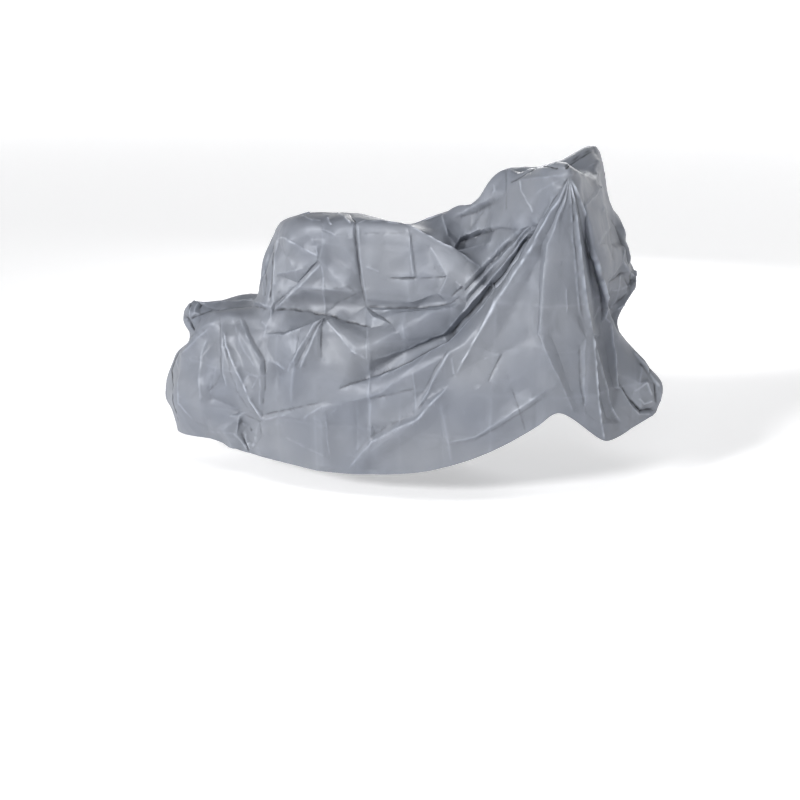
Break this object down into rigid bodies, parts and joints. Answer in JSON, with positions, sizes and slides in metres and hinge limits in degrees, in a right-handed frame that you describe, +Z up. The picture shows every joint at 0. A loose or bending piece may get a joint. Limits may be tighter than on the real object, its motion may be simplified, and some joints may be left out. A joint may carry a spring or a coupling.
{
  "type": "bicycle cover",
  "caption": "Thin silver-grey film cover draped over a bicycle, hollow and open underneath, with folds fanning from the grip.",
  "frame": {"origin": "point of support under the top of the cover, midway between its two handlebar tips", "axes": "+X towards the front end, +Y towards the far (left) side, +Z up"},
  "size_m": [2.0745, 0.799, 1.2224],
  "materials": {
    "film": "semi-gloss silver-grey plastic film, softly creased"
  },
  "bodies": {
    "root": {"cover": "film"}
  },
  "joints": []
}
